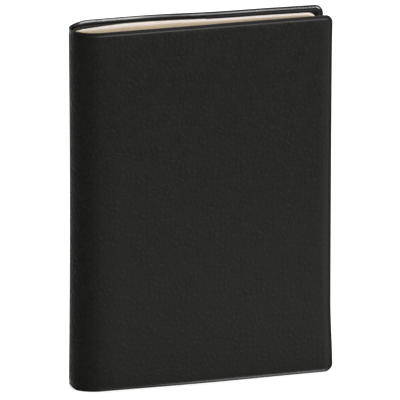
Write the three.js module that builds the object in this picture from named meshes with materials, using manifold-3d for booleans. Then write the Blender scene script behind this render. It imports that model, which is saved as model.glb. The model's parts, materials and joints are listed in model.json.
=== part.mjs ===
// A pocket diary standing on its lower edge: a soft slip-on cover, and a sewn refill held by its two
// cards in the cover's pockets. Millimetres, +Z up. The front cover faces -Y and the spine is at -X.
// Seen from above, x runs from the outermost line of the spine to the fore-edge, and y runs from the
// front face to the back one. The group at the end centres the diary over the origin.
import * as THREE from "three";
import { mergeVertices } from "three/addons/utils/BufferGeometryUtils.js";
import Module from "manifold-3d";

// The closed cover, outside.
const coverWidth = 109.6;
const coverHeight = 155;
const thicknessAtSpine = 19.2;
const thicknessAtForeEdge = 14.3;
const spineRoundDepth = 11; // from the outermost line of the spine to the flat of the covers
const coverCornerRadius = 3.2;

// The layers of the cover, from outside to inside.
const skinThickness = 0.6;
const foamThickness = 0.4;
const liningThickness = 0.2;
const flapThickness = 0.25;
const weldMargin = 2; // the pressed rim round each cover, where the layers meet
const flapWidth = 49.6; // from the fore-edge to the free edge of the pocket flap

// The refill.
const headOverhang = 2.5; // the covers stand this far above the pages
const tailOverhang = 2.5; // and reach this far below them
const foreEdgeOverhang = 3;
const pageCornerRadius = 4;
const cardThickness = 0.3;
const endpaperThickness = 0.1;
const sectionCount = 12;
const backRounding = 3.5; // the outer folds lie this far in front of the middle ones
const foldNip = 0.25; // the sewn folds are pressed this much thinner than the pages, on each side
const foreEdgeHollow = 1.5; // the middle sections end this far short of the outer ones
const threadDiameter = 0.35;
const threadRuns = 5;
const glueThickness = 0.3;
const gauzeThickness = 0.15;
const gauzeEndMargin = 8; // the gauze stops this far short of the head and tail of the pages
const threadStop = 0.6; // the thread stops this many sections short of the outer one
const glueStop = 0.9;
const gauzeStop = 1.2;
const cardStop = 1.5;
const cardBendAngle = 72; // degrees round the spine to where the card meets the shoulder of the cover

// Where things turn.
const hingeAngle = 50; // degrees round the spine from its outermost line to each cover's bend
const outerFoldDepth = 2.2; // from the outer sections' fold to the line that they turn about
const turnStagger = 2.6; // the middle sections turn this much further in than the outer ones

// Clearances.
const layerGap = 0.05; // between sheets that lie on each other
const sectionGap = 0.12;
const hingeGap = 0.3; // between the spine strip and each cover, along the skin
const hollowBack = 0.9; // the air between the spine's lining and the refill's spine card

// How solids are cut and merged.
const cutMargin = 5; // a cutting space reaches this far past what it cuts
const mergeDistance = 1e-4; // corners nearer than this are one corner

// Steps on the round stretches.
const spineSteps = 24;
const shoulderSteps = 8;
const foldSteps = 8;
const cornerSteps = 6;
const threadSides = 6;

const wasm = await Module();
wasm.setup();

const toRadians = THREE.MathUtils.degToRad;

// A closed three.js geometry as a solid that can be cut and joined.
function solidOf(geometry) {
  const bare = geometry.clone();
  bare.deleteAttribute("normal");
  bare.deleteAttribute("uv");
  const merged = mergeVertices(bare, mergeDistance);
  return new wasm.Manifold(
    new wasm.Mesh({
      numProp: 3,
      vertProperties: new Float32Array(merged.attributes.position.array),
      triVerts: new Uint32Array(merged.index.array),
    }),
  );
}

function geometryOf(solid) {
  const mesh = solid.getMesh();
  const geometry = new THREE.BufferGeometry();
  geometry.setAttribute("position", new THREE.BufferAttribute(mesh.vertProperties, 3));
  geometry.setIndex(new THREE.BufferAttribute(mesh.triVerts, 1));
  geometry.computeVertexNormals();
  return geometry;
}

// The outline of a piece seen from above, raised from one height to another.
function raise(outline, fromZ, toZ) {
  const geometry = new THREE.ExtrudeGeometry(new THREE.Shape(outline), {
    depth: toZ - fromZ,
    bevelEnabled: false,
  });
  geometry.translate(0, 0, fromZ);
  return solidOf(geometry);
}

// The space that a sheet fills seen from the front, with its two fore-edge corners rounded.
function sheetSpace(foreEdgeX, fromZ, toZ, radius) {
  const shape = new THREE.Shape();
  shape.moveTo(-cutMargin, fromZ);
  shape.lineTo(foreEdgeX - radius, fromZ);
  shape.absarc(foreEdgeX - radius, fromZ + radius, radius, -Math.PI / 2, 0, false);
  shape.absarc(foreEdgeX - radius, toZ - radius, radius, 0, Math.PI / 2, false);
  shape.lineTo(-cutMargin, toZ);
  const geometry = new THREE.ExtrudeGeometry(shape, {
    depth: thicknessAtSpine + 2 * cutMargin,
    bevelEnabled: false,
    curveSegments: cornerSteps,
  });
  geometry.rotateX(Math.PI / 2);
  geometry.translate(0, thicknessAtSpine + cutMargin, 0);
  return solidOf(geometry);
}

// A point of the cover's rounded outer line, with the direction into the cover. The angle is 0 at the
// outermost line of the spine, -90 degrees at the flat of the front cover and 90 at that of the back.
function spinePoint(degrees) {
  const angle = toRadians(degrees);
  const halfThickness = thicknessAtSpine / 2;
  const at = new THREE.Vector2(
    spineRoundDepth * (1 - Math.cos(angle)),
    halfThickness * (1 + Math.sin(angle)),
  );
  const inward = new THREE.Vector2(
    Math.cos(angle) / spineRoundDepth,
    -Math.sin(angle) / halfThickness,
  ).normalize();
  return { at, inward };
}

function spineLine(fromDegrees, toDegrees, steps) {
  const line = [];
  for (let i = 0; i <= steps; i++) {
    line.push(spinePoint(fromDegrees + ((toDegrees - fromDegrees) * i) / steps));
  }
  return line;
}

// The flat of a cover between two distances from the spine. The side is -1 for the front cover and 1
// for the back one.
function flatLine(side, fromX, toX) {
  const start = new THREE.Vector2(fromX, side < 0 ? 0 : backFaceY(fromX));
  const end = new THREE.Vector2(toX, side < 0 ? 0 : backFaceY(toX));
  const along = end.clone().sub(start).normalize();
  const inward = new THREE.Vector2(-along.y, along.x).multiplyScalar(-side);
  return [
    { at: start, inward },
    { at: end, inward },
  ];
}

function backFaceY(x) {
  const share = (x - spineRoundDepth) / (coverWidth - spineRoundDepth);
  return thicknessAtSpine + share * (thicknessAtForeEdge - thicknessAtSpine);
}

const backSlope = Math.atan2(thicknessAtSpine - thicknessAtForeEdge, coverWidth - spineRoundDepth);

// The length of one degree round the spine where the covers bend, and half the hinge's gap in degrees.
const degreeLength = spinePoint(hingeAngle + 1).at.distanceTo(spinePoint(hingeAngle).at);
const halfHingeGap = hingeGap / 2 / degreeLength;

// The line of a cover from an angle round the spine to a distance from the spine's outermost line.
function shoulderLine(side, fromDegrees, toX) {
  const shoulder = spineLine(side * fromDegrees, side * 90, shoulderSteps);
  return [...shoulder.slice(0, -1), ...flatLine(side, spineRoundDepth, toX)];
}

// The line of a cover from its bend to the fore-edge. The margin holds a layer back from both ends.
function coverLine(side, margin) {
  const startAngle = hingeAngle + halfHingeGap + margin / degreeLength;
  return shoulderLine(side, startAngle, coverWidth - margin);
}

// The outline of a layer that follows a line, from one depth under it to another.
function band(line, outerDepth, innerDepth) {
  const shifted = (depth) => line.map((p) => p.at.clone().addScaledVector(p.inward, depth));
  return [...shifted(outerDepth), ...shifted(innerDepth).reverse()];
}

// Depths of the layers under the outer line.
const foamDepth = skinThickness + layerGap;
const liningDepth = foamDepth + foamThickness + layerGap;
const cardDepth = liningDepth + liningThickness + layerGap;
const endpaperDepth = cardDepth + cardThickness + layerGap;
const flapDepth = endpaperDepth + endpaperThickness + layerGap;
const insideDepth = flapDepth + flapThickness;
const flyleafDepth = insideDepth + sectionGap;
const blockDepth = flyleafDepth + endpaperThickness + layerGap;

// The page block, between the two flyleaves.
const pagesLowZ = tailOverhang;
const pagesHighZ = coverHeight - headOverhang;
const pagesForeEdgeX = coverWidth - foreEdgeOverhang;
const lastIndex = sectionCount - 1;
const middleIndex = lastIndex / 2;

function blockThickness(x) {
  const outside = backFaceY(Math.max(x, spineRoundDepth));
  return outside - blockDepth - blockDepth / Math.cos(backSlope);
}

function sectionThickness(x) {
  return (blockThickness(x) - lastIndex * sectionGap) / sectionCount;
}

// The middle plane of a section, counted from 0 at the front.
function sectionY(index, x) {
  const thickness = sectionThickness(x);
  return blockDepth + thickness / 2 + index * (thickness + sectionGap);
}

// 0 for a section in the middle of the block, 1 for the front and back ones.
function offMiddle(index) {
  return Math.abs(index - middleIndex) / middleIndex;
}

// Depths of the layers behind the folds, under the spine's outermost line, and the folds themselves.
const spineLiningDepth = skinThickness + layerGap;
const spineCardDepth = spineLiningDepth + liningThickness + hollowBack;
const gauzeDepth = spineCardDepth + cardThickness + layerGap;
const glueDepth = gauzeDepth + gauzeThickness + layerGap;
const threadDepth = glueDepth + glueThickness + layerGap;
const foldBackX = threadDepth + threadDiameter + layerGap;
const foldShare = 1 - (2 * foldNip) / blockThickness(foldBackX);
const foldRadius = (foldShare * sectionThickness(foldBackX)) / 2;
const middleFoldX = foldBackX + foldRadius;

// The centre of a section's fold.
function foldCentre(index) {
  const x = middleFoldX + backRounding * offMiddle(index) ** 2;
  const middleY = sectionY(middleIndex, x);
  return new THREE.Vector2(x, middleY + foldShare * (sectionY(index, x) - middleY));
}

// Where a section's pages start to turn.
function turnX(index) {
  const outerTurnX = middleFoldX + backRounding + outerFoldDepth;
  return outerTurnX + turnStagger * (1 - offMiddle(index) ** 2);
}

function sectionForeEdgeX(index) {
  return pagesForeEdgeX - foreEdgeHollow * (1 - offMiddle(index) ** 2);
}

// A stretch of a section from a rounded end to a flat one.
function sectionOutline(index, roundEnd, radius, flatX) {
  const flatY = sectionY(index, flatX);
  const half = sectionThickness(flatX) / 2;
  const along = Math.atan2(flatY - roundEnd.y, flatX - roundEnd.x);
  const outline = [];
  for (let i = 0; i <= foldSteps; i++) {
    const angle = along + Math.PI / 2 + (Math.PI * i) / foldSteps;
    const out = new THREE.Vector2(Math.cos(angle), Math.sin(angle));
    outline.push(roundEnd.clone().addScaledVector(out, radius));
  }
  outline.push(new THREE.Vector2(flatX, flatY - half), new THREE.Vector2(flatX, flatY + half));
  return outline;
}

// The curve through the folds' centres, stopped short of both ends by a number of sections, with the
// direction towards the spine.
function foldLine(stop) {
  const line = [];
  const nearby = 0.01;
  for (let i = 0; i <= spineSteps; i++) {
    const index = stop + ((lastIndex - 2 * stop) * i) / spineSteps;
    const tangent = foldCentre(index + nearby).sub(foldCentre(index - nearby)).normalize();
    line.push({ at: foldCentre(index), inward: new THREE.Vector2(-tangent.y, tangent.x) });
  }
  return line;
}

// Materials.
const finish = (color, roughness) =>
  new THREE.MeshStandardMaterial({ color, roughness, metalness: 0 });
const blackGrain = finish(0x262624, 0.5);
const greyFoam = finish(0x3c3c3c, 0.95);
const blackFilm = finish(0x1e1e1f, 0.6);
const cream = finish(0xe9dfd3, 0.85);
const blackCard = finish(0x2b2b2a, 0.8);
const endpaperWhite = finish(0xefeae2, 0.85);
const paleGlue = finish(0xe6ddc4, 0.45);
const gauzeWhite = finish(0xddd8cc, 0.95);
const threadWhite = finish(0xf2efe8, 0.8);

const diary = new THREE.Group();

function add(name, solid, material) {
  const mesh = new THREE.Mesh(geometryOf(solid), material);
  mesh.name = name;
  diary.add(mesh);
}

// The cover's spine: skin and lining.
const spineHalfAngle = hingeAngle - halfHingeGap;
const spineStrip = spineLine(-spineHalfAngle, spineHalfAngle, spineSteps);
const spineBand = (outerDepth, innerDepth) =>
  raise(band(spineStrip, outerDepth, innerDepth), 0, coverHeight);
add("cover_spine_skin", spineBand(0, skinThickness), blackGrain);
add("cover_spine_lining", spineBand(spineLiningDepth, spineLiningDepth + liningThickness), blackFilm);

// The front and back covers.
const coverSpace = sheetSpace(coverWidth, 0, coverHeight, coverCornerRadius);
const foamSpace = sheetSpace(
  coverWidth - weldMargin - layerGap,
  weldMargin + layerGap,
  coverHeight - weldMargin - layerGap,
  coverCornerRadius,
);
const cardSpace = sheetSpace(pagesForeEdgeX, pagesLowZ, pagesHighZ, pageCornerRadius);

// The lining lies over the foam and comes down to the skin all round it.
function coverLining(side) {
  const layer = (margin, fromZ, toZ) =>
    raise(band(coverLine(side, margin), foamDepth, liningDepth + liningThickness), fromZ, toZ);
  const whole = layer(0, 0, coverHeight).intersect(coverSpace);
  const hollowBand = band(coverLine(side, weldMargin), 0, liningDepth);
  const hollow = raise(hollowBand, weldMargin, coverHeight - weldMargin);
  return whole.subtract(hollow);
}

// The pocket flap covers the card and comes down to the lining at the head, the tail and the fore-edge.
function pocketFlap(side) {
  const freeEdgeX = coverWidth - flapWidth;
  const outline = band(flatLine(side, freeEdgeX, coverWidth), cardDepth, insideDepth);
  const whole = raise(outline, 0, coverHeight).intersect(coverSpace);
  const pocketEndX = coverWidth - weldMargin;
  const pocketBand = band(flatLine(side, freeEdgeX - weldMargin, pocketEndX), 0, flapDepth);
  return whole.subtract(raise(pocketBand, weldMargin, coverHeight - weldMargin));
}

// A sheet of the refill that lies along a cover.
function refillSheet(line, depth, thickness) {
  const outline = band(line, depth, depth + thickness);
  return raise(outline, pagesLowZ, pagesHighZ).intersect(cardSpace);
}

for (const [name, side] of [
  ["front", -1],
  ["back", 1],
]) {
  const skin = raise(band(coverLine(side, 0), 0, skinThickness), 0, coverHeight);
  const foam = raise(
    band(coverLine(side, weldMargin + layerGap), foamDepth, foamDepth + foamThickness),
    0,
    coverHeight,
  );
  const cardLine = shoulderLine(side, cardBendAngle, pagesForeEdgeX);
  const paperLine = flatLine(side, spineRoundDepth, pagesForeEdgeX);
  add(`${name}_cover_skin`, skin.intersect(coverSpace), blackGrain);
  add(`${name}_cover_foam`, foam.intersect(foamSpace), greyFoam);
  add(`${name}_cover_lining`, coverLining(side), blackFilm);
  add(`${name}_pocket_flap`, pocketFlap(side), blackFilm);
  add(`refill_${name}_card`, refillSheet(cardLine, cardDepth, cardThickness), blackCard);
  add(`${name}_endpaper`, refillSheet(paperLine, endpaperDepth, endpaperThickness), endpaperWhite);
  add(`${name}_flyleaf`, refillSheet(paperLine, flyleafDepth, endpaperThickness), endpaperWhite);
}

// The page sections: each has its sewn fold at the spine, and the pages that turn about a line near it.
for (let index = 0; index < sectionCount; index++) {
  const number = String(index + 1).padStart(2, "0");
  const turnRadius = sectionThickness(turnX(index)) / 2;
  const turnCentre = new THREE.Vector2(turnX(index), sectionY(index, turnX(index)));
  const foldEndX = turnCentre.x - turnRadius - sectionGap;
  const foldOutline = sectionOutline(index, foldCentre(index), foldRadius, foldEndX);
  const fold = raise(foldOutline, pagesLowZ, pagesHighZ);
  const endX = sectionForeEdgeX(index);
  const pagesOutline = sectionOutline(index, turnCentre, turnRadius, endX);
  const pages = raise(pagesOutline, pagesLowZ, pagesHighZ);
  const pageSpace = sheetSpace(endX, pagesLowZ, pagesHighZ, pageCornerRadius);
  add(`section_fold_${number}`, fold, cream);
  add(`page_section_${number}`, pages.intersect(pageSpace), cream);
}

// The back of the refill, from the folds outwards: thread, glue, gauze and the spine card.
function backLayer(stop, outerDepth, thickness, endMargin) {
  const inner = foldRadius + foldBackX - outerDepth - thickness;
  const outline = band(foldLine(stop), inner, inner + thickness);
  return raise(outline, pagesLowZ + endMargin, pagesHighZ - endMargin);
}
add("spine_glue", backLayer(glueStop, glueDepth, glueThickness, 0), paleGlue);
add("spine_gauze", backLayer(gauzeStop, gauzeDepth, gauzeThickness, gauzeEndMargin), gauzeWhite);
add("refill_spine_card", backLayer(cardStop, spineCardDepth, cardThickness, 0), blackCard);

const threadRadius = threadDiameter / 2;
const threadOffset = foldRadius + layerGap + threadRadius;
const threadOutline = [];
for (let side = 0; side < threadSides; side++) {
  const angle = (2 * Math.PI * side) / threadSides;
  threadOutline.push(new THREE.Vector2(Math.cos(angle), Math.sin(angle)).multiplyScalar(threadRadius));
}
const threadSection = new THREE.Shape(threadOutline);
for (let run = 0; run < threadRuns; run++) {
  const z = pagesLowZ + ((pagesHighZ - pagesLowZ) * (run + 0.5)) / threadRuns;
  const points = foldLine(threadStop).map((p) => {
    const at = p.at.clone().addScaledVector(p.inward, threadOffset);
    return new THREE.Vector3(at.x, at.y, z);
  });
  const thread = new THREE.ExtrudeGeometry(threadSection, {
    steps: spineSteps,
    extrudePath: new THREE.CatmullRomCurve3(points),
  });
  add(`sewing_thread_${run + 1}`, solidOf(thread), threadWhite);
}

// The diary stands with the middle of its closed thickness and width over the origin.
diary.position.set(-coverWidth / 2, -thicknessAtSpine / 2, 0);

export default diary;
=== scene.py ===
# %% [markdown]
# A pocket diary stands on its lower edge. It has a soft black cover with a fine pebble grain, and a
# sewn refill whose two cards slide into pockets inside the cover. The frame already holds every piece
# at its real size and says which body it moves with. This script gives the pieces their looks: the
# soft bent skin, the pressed rim, and the pages leaf by leaf.

import math

import bmesh
import bpy
import numpy as np
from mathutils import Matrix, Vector
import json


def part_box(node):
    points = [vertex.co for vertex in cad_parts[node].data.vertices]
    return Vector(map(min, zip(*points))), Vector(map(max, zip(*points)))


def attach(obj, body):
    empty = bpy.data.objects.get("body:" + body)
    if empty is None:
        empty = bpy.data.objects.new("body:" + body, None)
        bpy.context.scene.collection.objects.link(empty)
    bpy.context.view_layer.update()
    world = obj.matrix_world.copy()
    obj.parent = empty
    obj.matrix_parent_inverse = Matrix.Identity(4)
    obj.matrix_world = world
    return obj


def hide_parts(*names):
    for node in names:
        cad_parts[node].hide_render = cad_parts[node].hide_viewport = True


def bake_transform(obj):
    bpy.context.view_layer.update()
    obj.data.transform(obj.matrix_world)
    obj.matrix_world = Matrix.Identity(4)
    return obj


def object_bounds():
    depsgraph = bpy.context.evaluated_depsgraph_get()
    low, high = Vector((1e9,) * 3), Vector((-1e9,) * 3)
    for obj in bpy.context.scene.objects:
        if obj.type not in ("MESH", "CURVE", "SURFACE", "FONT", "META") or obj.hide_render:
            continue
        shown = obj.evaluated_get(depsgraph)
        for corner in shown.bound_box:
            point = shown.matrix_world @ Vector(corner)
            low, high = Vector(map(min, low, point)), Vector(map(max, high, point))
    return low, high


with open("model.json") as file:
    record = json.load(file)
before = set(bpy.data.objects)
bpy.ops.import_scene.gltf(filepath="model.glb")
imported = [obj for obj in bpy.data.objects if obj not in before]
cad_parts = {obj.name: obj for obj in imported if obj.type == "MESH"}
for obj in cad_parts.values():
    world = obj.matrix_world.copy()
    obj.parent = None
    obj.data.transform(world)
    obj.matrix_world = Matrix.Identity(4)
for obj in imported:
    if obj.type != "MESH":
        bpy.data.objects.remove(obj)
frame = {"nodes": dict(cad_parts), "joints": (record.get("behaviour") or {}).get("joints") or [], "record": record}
frame_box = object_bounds()
mm = 0.001
print("frame box in mm:", [[round(c / mm, 1) for c in corner] for corner in frame_box])

# %% [markdown]
# The camera comes first, so that every look at a half-made scene has the photograph's view. The
# direction comes from the slopes of the cover's upper and lower edges: the camera stands to the left
# of the front cover and a little above it. A long lens from far away keeps the edges nearly parallel,
# as they are in the photograph. The aim is worked out from one point of the diary and the pixel
# that shows it.

# %% Camera
view_left = math.radians(15.6)
view_down = math.radians(17.52)
camera_distance = 3.875
image_side = 400
pixels_per_metre = 375.6 / 0.155
aim_pixel = (205.11, 198.46)
aim_point = Vector((0.00255, -0.00185, 0.0775))

look = Vector(
    (
        math.sin(view_left) * math.cos(view_down),
        math.cos(view_left) * math.cos(view_down),
        -math.sin(view_down),
    )
)
right = Vector((math.cos(view_left), -math.sin(view_left), 0))
up = right.cross(look)
picture_middle = (
    aim_point
    + right * (image_side / 2 - aim_pixel[0]) / pixels_per_metre
    + up * (aim_pixel[1] - image_side / 2) / pixels_per_metre
)


def add_object(name, data):
    """A new object in the scene."""
    thing = bpy.data.objects.new(name, data)
    bpy.context.scene.collection.objects.link(thing)
    return thing


camera_data = bpy.data.cameras.new("camera")
camera_data.sensor_width = 36
camera_data.lens = camera_data.sensor_width * camera_distance * pixels_per_metre / image_side
camera_data.clip_end = 30
camera = add_object("camera", camera_data)
camera.location = picture_middle - look * camera_distance
camera.rotation_euler = look.to_track_quat("-Z", "Y").to_euler()
bpy.context.scene.camera = camera
print(f"lens {camera_data.lens:.0f} mm, {camera_distance} m away")

# %% [markdown]
# The sizes below are read from the frame where it holds them. The back cover isn't parallel to the
# front one, so its face comes from the mount that lies on it. Skin and film are thin layers that
# the frame's boxes only show together, so their thickness is named here.

# %% Sizes of the cover
cover_low, cover_high = frame_box
cover_height = cover_high.z
spine_x = cover_low.x
fore_edge_x = cover_high.x
front_y = cover_low.y
half_thickness = cover_high.y
spine_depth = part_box("front_endpaper")[0].x - spine_x
flat_x = spine_x + spine_depth
mounts = {mount["name"]: mount for mount in frame["record"]["mounts"]}
back_mount = mounts["back_cover_face"]
back_slope = -back_mount["axis"][0] / back_mount["axis"][1]
joints = {joint["name"]: joint for joint in frame["joints"]}

skin_thickness = 0.45 * mm
film_thickness = 0.18 * mm
touch = 0.01 * mm
corner_radii = {"front": (3.6 * mm, 3.0 * mm), "back": (3.4 * mm, 3.4 * mm)}  # at foot and head
rim_width = 1.5 * mm
rim_drop = 0.6 * mm
shoulder_drop = 0.28 * mm
shoulder_width = 0.5 * mm
pillow_width = 3.8 * mm
card_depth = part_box("refill_front_card")[0].y - front_y
endpaper_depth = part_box("front_endpaper")[0].y - front_y
flap_inside_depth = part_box("front_pocket_flap")[1].y - front_y
flyleaf_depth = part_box("front_flyleaf")[0].y - front_y
block_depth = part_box("page_section_01")[0].y - front_y
print(f"spine {spine_depth / mm:.1f} mm deep, pages start {block_depth / mm:.2f} mm inside the front")


# %% [markdown]
# Seen from above, the cover is one line: straight along the front, round the spine in half an
# ellipse, and back along the rear cover. The rear cover isn't quite straight. The refill is thickest
# a third of the way from the spine, and pushes the soft cover out there. One function gives the line
# as points with the direction into the cover, by the length walked from the middle of the spine, so
# that every layer and every texture can follow it without stretching.

# %% Line of the closed cover
belly_x = spine_x + 33 * mm
belly_width = 15 * mm
belly_height = 1.0 * mm
hollow_x = spine_x + 66 * mm
hollow_width = 13 * mm
hollow_depth = 0.45 * mm


def swell(x, middle, width):
    """A smooth bump: 1 in the middle, 0 beyond twice the width on both sides."""
    t = np.clip(1 - ((x - middle) / (2 * width)) ** 2, 0, 1)
    return t**3


def belly(x):
    """How far the rear cover stands proud of its straight line."""
    swelling = belly_height * swell(x, belly_x, belly_width)
    return swelling - hollow_depth * swell(x, hollow_x, hollow_width)


def back_line_y(x):
    """The rear face of the cover at a distance along x."""
    mount_x, mount_y, _ = back_mount["pos_m"]
    return mount_y + back_slope * (x - mount_x)


def cover_line(side, samples=600):
    """Length walked, place and inward direction along one half of the cover. side: -1 front, 1 rear."""
    angle = np.linspace(0, math.pi / 2, samples)
    round_x = spine_x + spine_depth * (1 - np.cos(angle))
    round_y = side * half_thickness * np.sin(angle)
    flat = np.linspace(flat_x, fore_edge_x, samples)[1:]
    flat_y = np.full_like(flat, front_y) if side < 0 else back_line_y(flat) + belly(flat)
    place = np.stack([np.concatenate([round_x, flat]), np.concatenate([round_y, flat_y])], 1)
    tangent = np.gradient(place, axis=0)
    tangent /= np.linalg.norm(tangent, axis=1)[:, None]
    inward = side * np.stack([tangent[:, 1], -tangent[:, 0]], 1)
    length = np.concatenate([[0], np.cumsum(np.linalg.norm(np.diff(place, axis=0), axis=1))])
    return length, place, inward


cover_lines = {side: cover_line(side) for side in (-1, 1)}


def length_at_x(side, x):
    """The length walked from the middle of the spine to a given x."""
    length, place, _ = cover_lines[side]
    return float(np.interp(x, place[:, 0], length))


def x_at_length(side, lengths):
    """The x of places at given lengths from the middle of the spine."""
    length, place, _ = cover_lines[side]
    return np.interp(lengths, length, place[:, 0])


print("front half of the line:", round(cover_lines[-1][0][-1] / mm, 1), "mm")


# %% [markdown]
# A soft cover that has been handled isn't a box. Its fore-edge and its spine draw in a little between
# the ends, both spread towards the foot, the front bows out a little there, and its upper part and the
# spine lean forward, away from the pages. Towards the fore-edge, the rear cover leans back a little at
# the head. These are small moves of every point, worked out from where the point is, so that all
# layers of the cover take them together. At the spine's head the rear edge dips, and at its tail it is
# rounded, where hands have pressed it in. Paper keeps its straight edges and stays with the sewn back:
# it only leans where it is clear of the folds.

# %% Soft shape of the cover
spine_waist = 0.5 * mm
spine_spread = 0.42 * mm
fore_edge_waist = 0.6 * mm
fore_edge_spread = 0.45 * mm
corner_flare = 0.9 * mm
foot_flare_end, head_flare_start, head_flare_share = 0.2, 0.88, 0.15
front_lean = 2.0 * mm
rear_lean = 0.6 * mm
rear_lean_start_x, rear_lean_full_x = spine_x + 22 * mm, spine_x + 50 * mm
lean_front_y, lean_rear_y = -3 * mm, 5 * mm
front_bow = 0.8 * mm
bow_width = 28 * mm
lean_start_x, lean_full_x = spine_x + 6.5 * mm, spine_x + 20 * mm
head_dip = 0.75 * mm
head_reach = 11 * mm
dip_start = 0.9
dip_front_y, dip_rear_y = -5 * mm, 2 * mm
tail_radius = 2.1 * mm
tail_end = 0.1


def smooth_step(low, high, value):
    t = np.clip((value - low) / (high - low), 0, 1)
    return t * t * (3 - 2 * t)


def round_over(distance, radius):
    """How far a rounded edge falls away at a distance from the rim."""
    inside = np.clip(radius - distance, 0, radius)
    return radius - np.sqrt(radius**2 - inside**2)


def soften(points, paper=False):
    """Moves points of the closed cover from their straight places to their soft ones."""
    x, y, z = points.T
    level = z / cover_height
    at_front = 1 - smooth_step(lean_front_y, lean_rear_y, y)
    bow = front_bow * swell(x, 0, bow_width) * (1 - level)
    lean = (front_lean * level**2 + bow) * at_front
    share = (y - front_y) / (back_line_y(x) - front_y)
    at_rear = smooth_step(0.5, 1, share) * smooth_step(rear_lean_start_x, rear_lean_full_x, x)
    y = y + rear_lean * level**2 * at_rear
    if paper:
        return np.stack([x, y - lean * smooth_step(lean_start_x, lean_full_x, x), z], 1)
    at_spine = spine_waist * (1 - (2 * level - 1) ** 2) - spine_spread * (1 - level)
    near_head = smooth_step(head_flare_start, 1, level) * head_flare_share
    flare = corner_flare * (near_head + smooth_step(foot_flare_end, 0, level))
    at_fore_edge = fore_edge_spread * (1 - level) - fore_edge_waist + flare
    moved_x = x + at_spine * (1 - smooth_step(spine_x, flat_x, x))
    moved_x = moved_x + at_fore_edge * smooth_step(0, fore_edge_x, x) * (1 - at_rear * level**2)
    dip = head_dip * (1 - smooth_step(spine_x, spine_x + head_reach, x)) * smooth_step(dip_start, 1, level)
    dip = dip * smooth_step(dip_front_y, dip_rear_y, y)
    lift = round_over(np.maximum(x - spine_x, 0), tail_radius) * smooth_step(tail_end, 0, level)
    return np.stack([moved_x, y - lean, z + lift - dip], 1)


# %% [markdown]
# Skin, foam, film, flap, card and endpaper are all sheets that lie along the cover line, with two
# round corners at the fore-edge. One helper makes them. It lays rings of points along the three free
# edges, closer together where the rim is pressed, and fills the middle with a plain grid, so that the
# rim turns the round corners cleanly. Both faces get the same points, and a narrow wall closes them.
# The texture map is the sheet laid flat, in metres.

# %% Helper: a sheet that follows the cover
bend_step = 0.5 * mm
flat_step = 3 * mm
height_step = 4 * mm
corner_steps = 10
sharp_angle = math.radians(42)


def spaced(low, high, step):
    return list(np.linspace(low, high, max(2, round((high - low) / step) + 1)))


def grid_and_rings(start, end, low, high, radii, rings):
    """Flat points (length, height, distance to the rim) of one face, its faces, and its open border.
    radii are those of the corners at the foot and the head."""
    foot_radius, head_radius = radii
    straight_end = end - max(radii)
    bend_end = min(max(start, length_at_x(-1, flat_x)), straight_end)
    lengths = spaced(start, bend_end, bend_step)[:-1] if bend_end > start else []
    lengths += spaced(bend_end, straight_end, flat_step)
    heights = spaced(low + foot_radius, high - head_radius, height_step)
    turns = np.linspace(0, math.pi / 2, corner_steps + 1)[1:-1]
    columns, rows = len(lengths), len(heights)
    points, faces = [], []
    for d in rings:
        foot, head = foot_radius - d, head_radius - d
        foot_x, foot_z = end - foot_radius, low + foot_radius
        head_x, head_z = end - head_radius, high - head_radius
        points += [(s, low + d, d) for s in lengths]
        points += [(foot_x + foot * math.sin(t), foot_z - foot * math.cos(t), d) for t in turns]
        points += [(end - d, z, d) for z in heights]
        points += [(head_x + head * math.cos(t), head_z + head * math.sin(t), d) for t in turns]
        points += [(s, high - d, d) for s in reversed(lengths)]
    ring_size = 2 * (columns + len(turns)) + rows
    grid_start = len(points)
    points += [(s, z, min(end - s, z - low, high - z)) for z in heights for s in lengths]
    on_grid = [grid_start + i for i in range(columns)]
    on_grid += [grid_start + columns - 1] * len(turns)
    on_grid += [grid_start + j * columns + columns - 1 for j in range(rows)]
    on_grid += [grid_start + rows * columns - 1] * len(turns)
    on_grid += [grid_start + (rows - 1) * columns + i for i in reversed(range(columns))]
    chains = [[k * ring_size + i for i in range(ring_size)] for k in range(len(rings))] + [on_grid]
    for outer_chain, inner_chain in zip(chains, chains[1:]):
        for i in range(ring_size - 1):
            corner = [outer_chain[i], outer_chain[i + 1], inner_chain[i + 1], inner_chain[i]]
            faces.append(list(dict.fromkeys(corner)))
    for j in range(rows - 1):
        for i in range(columns - 1):
            a = grid_start + j * columns + i
            faces.append([a, a + 1, a + 1 + columns, a + columns])
    first_column = [grid_start + j * columns for j in range(rows)]
    near_start = [chain[0] for chain in chains[:-1]] + first_column
    near_start += [chain[-1] for chain in reversed(chains[:-1])]
    border = chains[0] + near_start[::-1][1:-1]
    return np.array(points), faces, border


def write_map(mesh, name, places):
    """A texture map from one place for each point of the mesh."""
    layer = mesh.uv_layers.new(name=name)
    loops = np.zeros(len(mesh.loops), int)
    mesh.loops.foreach_get("vertex_index", loops)
    layer.data.foreach_set("uv", np.asarray(places, np.float32)[loops].ravel())


def finish_mesh(name, points, faces, places):
    """A mesh object with its faces turned outwards, smooth except at sharp edges."""
    mesh = bpy.data.meshes.new(name)
    mesh.from_pydata([tuple(p) for p in points], [], faces)
    write_map(mesh, "flat", places)
    work = bmesh.new()
    work.from_mesh(mesh)
    bmesh.ops.recalc_face_normals(work, faces=work.faces)
    work.to_mesh(mesh)
    work.free()
    mesh.set_sharp_from_angle(angle=sharp_angle)
    return add_object(name, mesh)


def layer_faces(depth, thickness, edge):
    """The two faces of a layer of even thickness, rounded off at its edge. depth is the outer face's."""

    def outer(distance, length):
        return depth(distance, length) + round_over(distance, edge)

    def inner(distance, length):
        return depth(distance, length) + thickness - round_over(distance, edge)

    return outer, inner


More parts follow.
